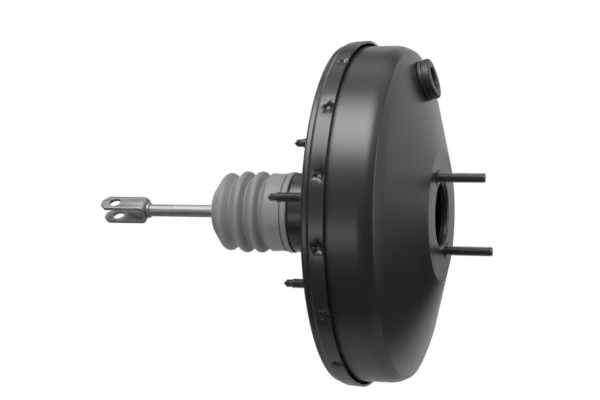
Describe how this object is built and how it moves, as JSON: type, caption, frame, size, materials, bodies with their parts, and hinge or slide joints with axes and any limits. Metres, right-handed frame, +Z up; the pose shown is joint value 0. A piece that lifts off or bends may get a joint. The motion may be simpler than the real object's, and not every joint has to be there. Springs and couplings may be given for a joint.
{
  "type": "brake booster",
  "caption": "Vacuum brake booster with a round pressed-steel drum, staked rim, rubber bellows boot, input rod with a clevis fork, and studs for the bulkhead and master cylinder.",
  "frame": {"origin": "centre of the flat bulkhead face, on the booster's axis", "axes": "+X along the axis towards the master cylinder, +Z up with the vacuum port at the top, +Y to the left when looking forward"},
  "size_m": [0.3326, 0.279, 0.279],
  "materials": {
    "black_paint": "satin black paint",
    "black_steel": "black oxide",
    "bare_steel": "pressed, light oil",
    "zinc_steel": "bright zinc plate",
    "spring_steel": "drawn wire",
    "black_rubber": "moulded",
    "boot_rubber": "moulded, matt grey",
    "moulded_plastic": "moulded phenolic",
    "nylon": "moulded",
    "filter_felt": "felt"
  },
  "bodies": {
    "housing": {"front_shell": "black_paint", "rear_shell": "black_paint", "front_reinforcement_plate": "bare_steel", "rear_reinforcement_plate": "bare_steel", "front_studs": "black_steel", "rear_studs": "black_steel", "stud_star_rings": "black_steel", "vacuum_port_grommet": "black_rubber", "neck_seal": "black_rubber", "seal_retainer": "bare_steel", "guide_bush": "nylon", "dust_boot": "boot_rubber", "diaphragm": "black_rubber", "return_spring": "spring_steel"},
    "piston": {"valve_body": "moulded_plastic", "diaphragm_plate": "bare_steel", "reaction_disc": "black_rubber", "output_rod": "zinc_steel", "output_rod_cap": "bare_steel", "stop_key": "bare_steel", "poppet_valve": "black_rubber", "poppet_cup": "bare_steel", "poppet_spring": "spring_steel", "rod_return_spring": "spring_steel", "air_filter": "filter_felt", "silencer_ring": "filter_felt", "tail_cap": "moulded_plastic"},
    "plunger": {"valve_plunger": "zinc_steel"},
    "rod": {"input_rod": "zinc_steel", "rod_spring_seat": "bare_steel", "clevis_fork": "zinc_steel"}
  },
  "joints": [
    {"name": "piston_slide", "type": "slide", "parent": "housing", "child": "piston", "axis": [1, 0, 0], "range_m": [0, 0.03], "stiffness_N_per_m": 2500, "deforming": ["dust_boot", "diaphragm", "return_spring"]},
    {"name": "plunger_slide", "type": "slide", "parent": "piston", "child": "plunger", "axis": [1, 0, 0], "range_m": [0, 0.0018], "stiffness_N_per_m": 2000, "deforming": ["poppet_valve", "poppet_spring", "rod_return_spring"]},
    {"name": "rod_tilt", "type": "hinge", "parent": "plunger", "child": "rod", "pos_m": [-0.004, 0, 0], "axis": [0, -0.5736, 0.8192], "range_deg": [-2, 2]}
  ]
}
